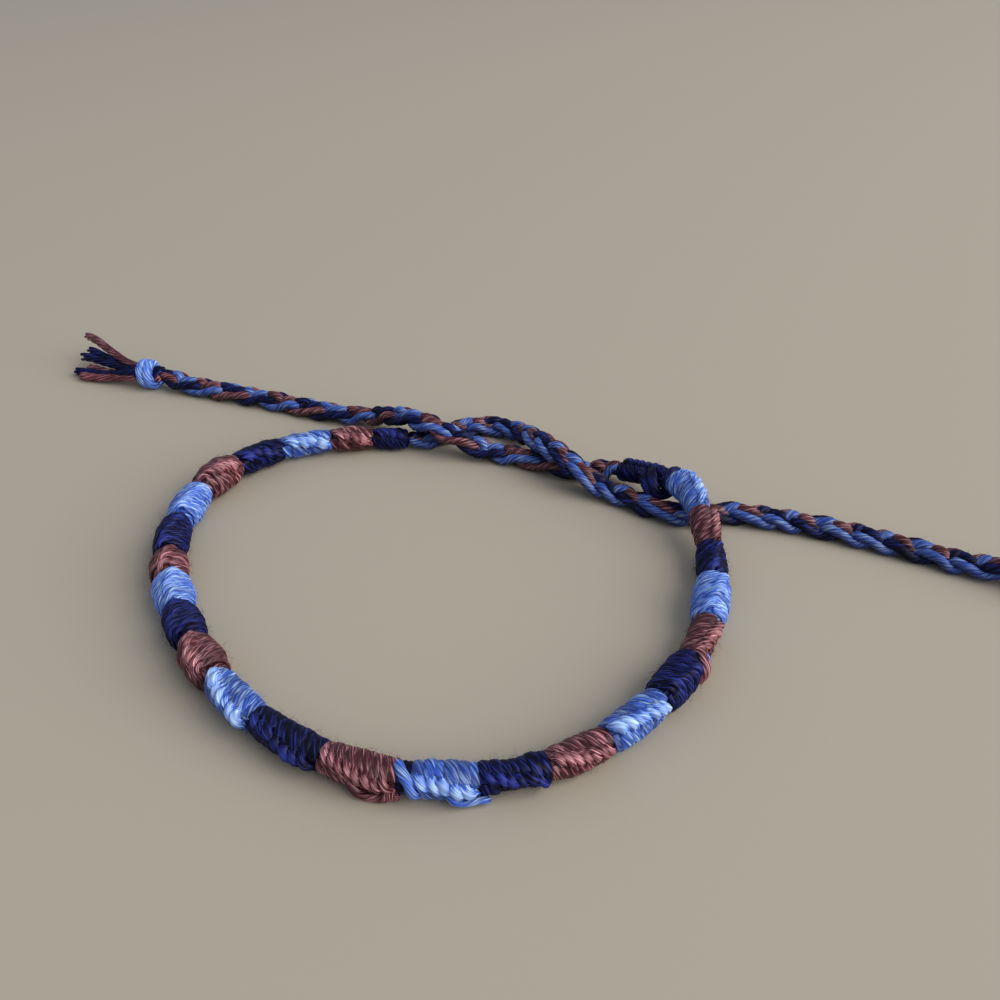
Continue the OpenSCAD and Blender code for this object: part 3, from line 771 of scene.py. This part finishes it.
# An overhand knot in each tie: two turns of doubled floss side by side round the braid's own threads, with
# a dark groove between them. At the angle a their middle is round the knot's line by the radius, and along
# it by spread a / 2 pi + lean sin a. It comes up out of the threads at one end and goes back at the other.
knotSettings = {
    "gap": 0.15,  # between the braid's end and the knot
    "length": 3.4,
    "radius": 1.32,  # of the wraps' middle
    "inner": 0.6,  # and where it comes out of the threads
    "tuck": 0.12,  # share of its run over which it comes out
    "turns": 2.05,
    "turnStart": 3.6,  # radians
    "spread": 1.02,  # from one wrap to the next, along the tie
    "lean": 0.12,
    "leanStart": 0.2,  # radians
    "shift": 0.2,  # of the wraps, towards the tassel
    "rings": 130,
    "threads": ["sky", "sky"],
    "thread": 0.6,
    "pair": 0.1,  # of the two threads' middles from the wrap's
    "pairTurn": 1.4,  # radians by which they turn round each other
    "rest": 0.9,  # part of a thread's radius that its middle keeps over the table
    "tone": -0.2,
    # Painted shade on the wraps' sides that face the braid's threads.
    "paintedCreaseShade": 0.9,
    "core": ["navy", "rose", "navy", "navy", "rose", "sky"],
    "coreThread": 0.5,
    "coreRing": 0.7,
    "coreTurn": 1.2,  # radians from the middle to an end
    "coreOver": 0.1,  # past the knot's ends
    "coreRings": 24,
    "coreTone": 0.4,
    "sides": 24,
    "hairs": 60,
    "hairRings": (25, 105),
    "hairLong": 0.7,
    "seed": {"left": 71, "right": 81},
}


def knotParts(end, level, seed):
    s = knotSettings
    rng = np.random.default_rng(seed)
    strandCount = flossSettings["strands"]
    left = np.array([-level[1], level[0], 0.0])
    up = np.array([0.0, 0.0, 1.0])
    middle = end + level * (s["gap"] + s["length"] / 2)
    t = np.linspace(-1, 1, s["coreRings"])
    line = middle + (s["length"] / 2 + s["coreOver"]) * t[:, None] * level
    centres = strands(line, up, len(s["core"]), s["coreTurn"] * t, s["coreRing"])
    parts = [tubes(centres[j:j + 1], up, s["coreThread"], s["sides"], slotOf[colour],
                   s["coreTone"] * rng.random(1), strandCount=strandCount)
             for j, colour in enumerate(s["core"])]
    t = np.linspace(0, 1, s["rings"])
    rise = ease(t / s["tuck"]) * ease((1 - t) / s["tuck"])
    angle = 2 * np.pi * s["turns"] * t + s["turnStart"]
    along = s["spread"] * s["turns"] * (t - 0.5) + s["lean"] * np.sin(angle + s["leanStart"]) + s["shift"]
    around = np.cos(angle)[:, None] * left + np.sin(angle)[:, None] * up
    radius = s["inner"] + (s["radius"] - s["inner"]) * rise
    line = middle + along[:, None] * level + radius[:, None] * around
    centres = strands(line, around, len(s["threads"]), s["pairTurn"] * (t - 0.5), s["pair"])
    centres[..., 2] = np.maximum(centres[..., 2], s["thread"] * s["rest"])
    parts += [tubes(centres[j:j + 1], around, s["thread"], s["sides"], slotOf[colour],
                    s["tone"] * rng.random(1), strandCount=strandCount, paintedCreaseShade=s["paintedCreaseShade"])
              for j, colour in enumerate(s["threads"])]
    pick = rng.integers(*s["hairRings"], s["hairs"])
    ahead = unit(np.gradient(line, axis=0))
    parts.append(fuzz(rng, line[pick] + around[pick] * s["thread"], around[pick], ahead[pick],
                      slotOf[s["threads"][0]], s["hairLong"]))
    return parts


# The cut tassels: one row a floss end, as colour, heading of its tip, reach, and height of its tip.
tasselSettings = {
    "left": [
        ("rose", 137, 12.8, 3.2), ("navy", 143, 10.6, 2.3), ("navy", 149, 11.0, 1.8),
        ("rose", 155, 9.2, 1.0), ("navy", 161, 10.2, 0.7), ("rose", 166, 8.8, 0.7),
    ],
    "right": [
        ("navy", -14, 12.4, 0.6), ("rose", -20, 13.6, 1.4), ("sky", -26, 12.0, 2.4),
        ("navy", -32, 13.0, 1.0), ("rose", -39, 11.8, 0.6), ("sky", -46, 10.6, 0.6),
    ],
    "inset": 0.2,  # of the ends' start, inside the knot
    "root": 0.8,  # how far the outer ends start from the middle
    "rootStep": 0.4,  # how far each starts above or below its neighbour's middle
    "swing": 4.08,  # length over which an end swings round to its own heading
    "riseDrift": (0.15, 0.8),  # size at the tip, and waves in an end
    "sideDrift": (0.2, 0.7),
    "strands": 6,  # to a floss end
    "radius": 0.2,
    "gathered": 0.27,  # radius of an end's strands at the knot
    "loose": 0.42,  # and at the tip
    "turn": 9,  # millimetres in which the strands turn once round each other
    "cut": 0.07,  # part of their length by which the shortest strand is shorter
    "tone": 0.5,
    "points": 60,
    "rings": 28,
    "sides": 7,
    "fibres": 26,  # at each cut tip
    "fibreLong": 0.7,
    "fibrePlace": 0.125,  # how widely their roots are strewn
    "fibreWay": 0.5,  # and how widely they point
    "seed": {"left": 72, "right": 82},
}


# Floss ends that leave the knot gathered and fan out. An end's line sets out level with the tie, eases
# round to its own heading, and comes down by 1 - (1 - t)^2; its strands lie round it and are cut at
# slightly different lengths.
def tasselParts(root, level, rows, seed):
    s = tasselSettings
    rng = np.random.default_rng(seed)
    side = np.array([-level[1], level[0], 0.0])
    up = np.array([0.0, 0.0, 1.0])
    steep = np.array([0.1, 0.2, 1.0])  # a way that no end points
    headings = np.array([row[1] for row in rows], float)
    fan = (headings - headings.mean()) / (np.ptp(headings) / 2)
    count = s["strands"]
    t = np.linspace(0, 1, s["points"])
    parts = []
    for index, (colour, heading, reach, tip) in enumerate(rows):
        turned = ease(reach * t / s["swing"])[:, None]
        goal = np.array([np.cos(np.radians(heading)), np.sin(np.radians(heading)), 0])
        flat = unit((1 - turned) * level + turned * goal)
        start = root + s["root"] * fan[index] * side + s["rootStep"] * (-1) ** index * up
        line = start + np.cumsum(flat * reach / s["points"], axis=0)
        low = max(tip, s["radius"] + s["loose"])
        line[:, 2] = start[2] + (low - start[2]) * (1 - (1 - t) ** 2) + drift(rng, t, *s["riseDrift"]) * t
        line += (drift(rng, t, *s["sideDrift"]) * t)[:, None] * side
        size = s["gathered"] + (s["loose"] - s["gathered"]) * t
        turn = 2 * np.pi * (reach * t / s["turn"] + rng.random())
        threads = strands(line, up, count, turn, size)
        cut = 1 - s["cut"] + s["cut"] * rng.random(count)
        at = np.linspace(0, 1, s["rings"])
        centres = np.stack([[np.interp(at * cut[j], t, threads[j, :, axis]) for axis in range(3)]
                            for j in range(count)]).swapaxes(1, 2)
        centres[..., 2] = np.maximum(centres[..., 2], s["radius"])
        parts.append(tubes(centres, up, s["radius"], s["sides"], slotOf[colour],
                           s["tone"] * rng.random(count)))
        ahead = unit(centres[:, -1] - centres[:, -3])
        pick = rng.integers(0, count, s["fibres"])
        jitter = rng.random((s["fibres"], 3)) - 0.5
        roots = centres[pick, -1] + s["fibrePlace"] * jitter
        parts.append(fuzz(rng, roots, unit(ahead[pick] + s["fibreWay"] * jitter),
                          unit(np.cross(ahead[pick], steep)), slotOf[colour], s["fibreLong"]))
    return parts


# Each tie's knot and tassel lie level, in the heading of the braid's last few rings.
for side in ("left", "right"):
    name = "tie_" + side
    path = ties[name]["path"]
    heading = path[-1] - path[-4]
    level = unit(np.array([heading[0], heading[1], 0.0]))
    wraps = knotParts(path[-1], level, knotSettings["seed"][side])
    knot = makePiece("knot_" + side + "_overhand", wraps, "knot_" + side)
    root = path[-1] + level * (2 * knotSettings["gap"] + knotSettings["length"] - tasselSettings["inset"])
    ends = tasselParts(root, level, tasselSettings[side], tasselSettings["seed"][side])
    tassel = makePiece("tassel_" + side + "_ends", ends, "tassel_" + side)
    tie = tieSettings[name]
print("knots and tassels made")


# The table: a plain, pale, matt surface.
tableSettings = {"colour": "#aea698", "size": 1600, "roughness": 0.85}
tableMaterial = bpy.data.materials.new("matt_table")
tableMaterial.use_nodes = True
tableShader = tableMaterial.node_tree.nodes["Principled BSDF"]
tableShader.inputs["Base Color"].default_value = linearColour(tableSettings["colour"])
tableShader.inputs["Roughness"].default_value = tableSettings["roughness"]
half = tableSettings["size"] / 2 * mm
tableCorners = [(-half, -half, 0), (half, -half, 0), (half, half, 0), (-half, half, 0)]
tableMesh = bpy.data.meshes.new("table")
tableMesh.from_pydata(tableCorners, [], [(0, 1, 2, 3)])
tableMesh.materials.append(tableMaterial)
table = bpy.data.objects.new("table", tableMesh)
scene.collection.objects.link(table)

# Soft light as from a wide window on the right, and a pale room round it.
lightSettings = {
    "azimuth": -25,  # degrees from +X
    "elevation": 33,
    "distance": 1500,
    "size": 1700,
    "power": 24,
    "colour": "#fffaf2",
    "room": "#dfe6f2",
    "roomStrength": 0.53,
}
light = bpy.data.lights.new("window", "AREA")
light.shape = "DISK"
light.size = lightSettings["size"] * mm
light.energy = lightSettings["power"]
light.color = linearColour(lightSettings["colour"])[:3]
azimuth, elevation = np.radians(lightSettings["azimuth"]), np.radians(lightSettings["elevation"])
lightObject = bpy.data.objects.new("window", light)
lightObject.location = [lightSettings["distance"] * mm * v for v in (
    np.cos(azimuth) * np.cos(elevation), np.sin(azimuth) * np.cos(elevation), np.sin(elevation))]
lightObject.rotation_euler = (0, np.radians(90) - elevation, azimuth)
scene.collection.objects.link(lightObject)
room = bpy.data.worlds.new("room")
room.use_nodes = True
room.node_tree.nodes["Background"].inputs["Color"].default_value = linearColour(lightSettings["room"])
room.node_tree.nodes["Background"].inputs["Strength"].default_value = lightSettings["roomStrength"]
scene.world = room
scene.view_settings.view_transform = "Standard"
scene.view_settings.look = "Medium High Contrast"
print("table and light placed")
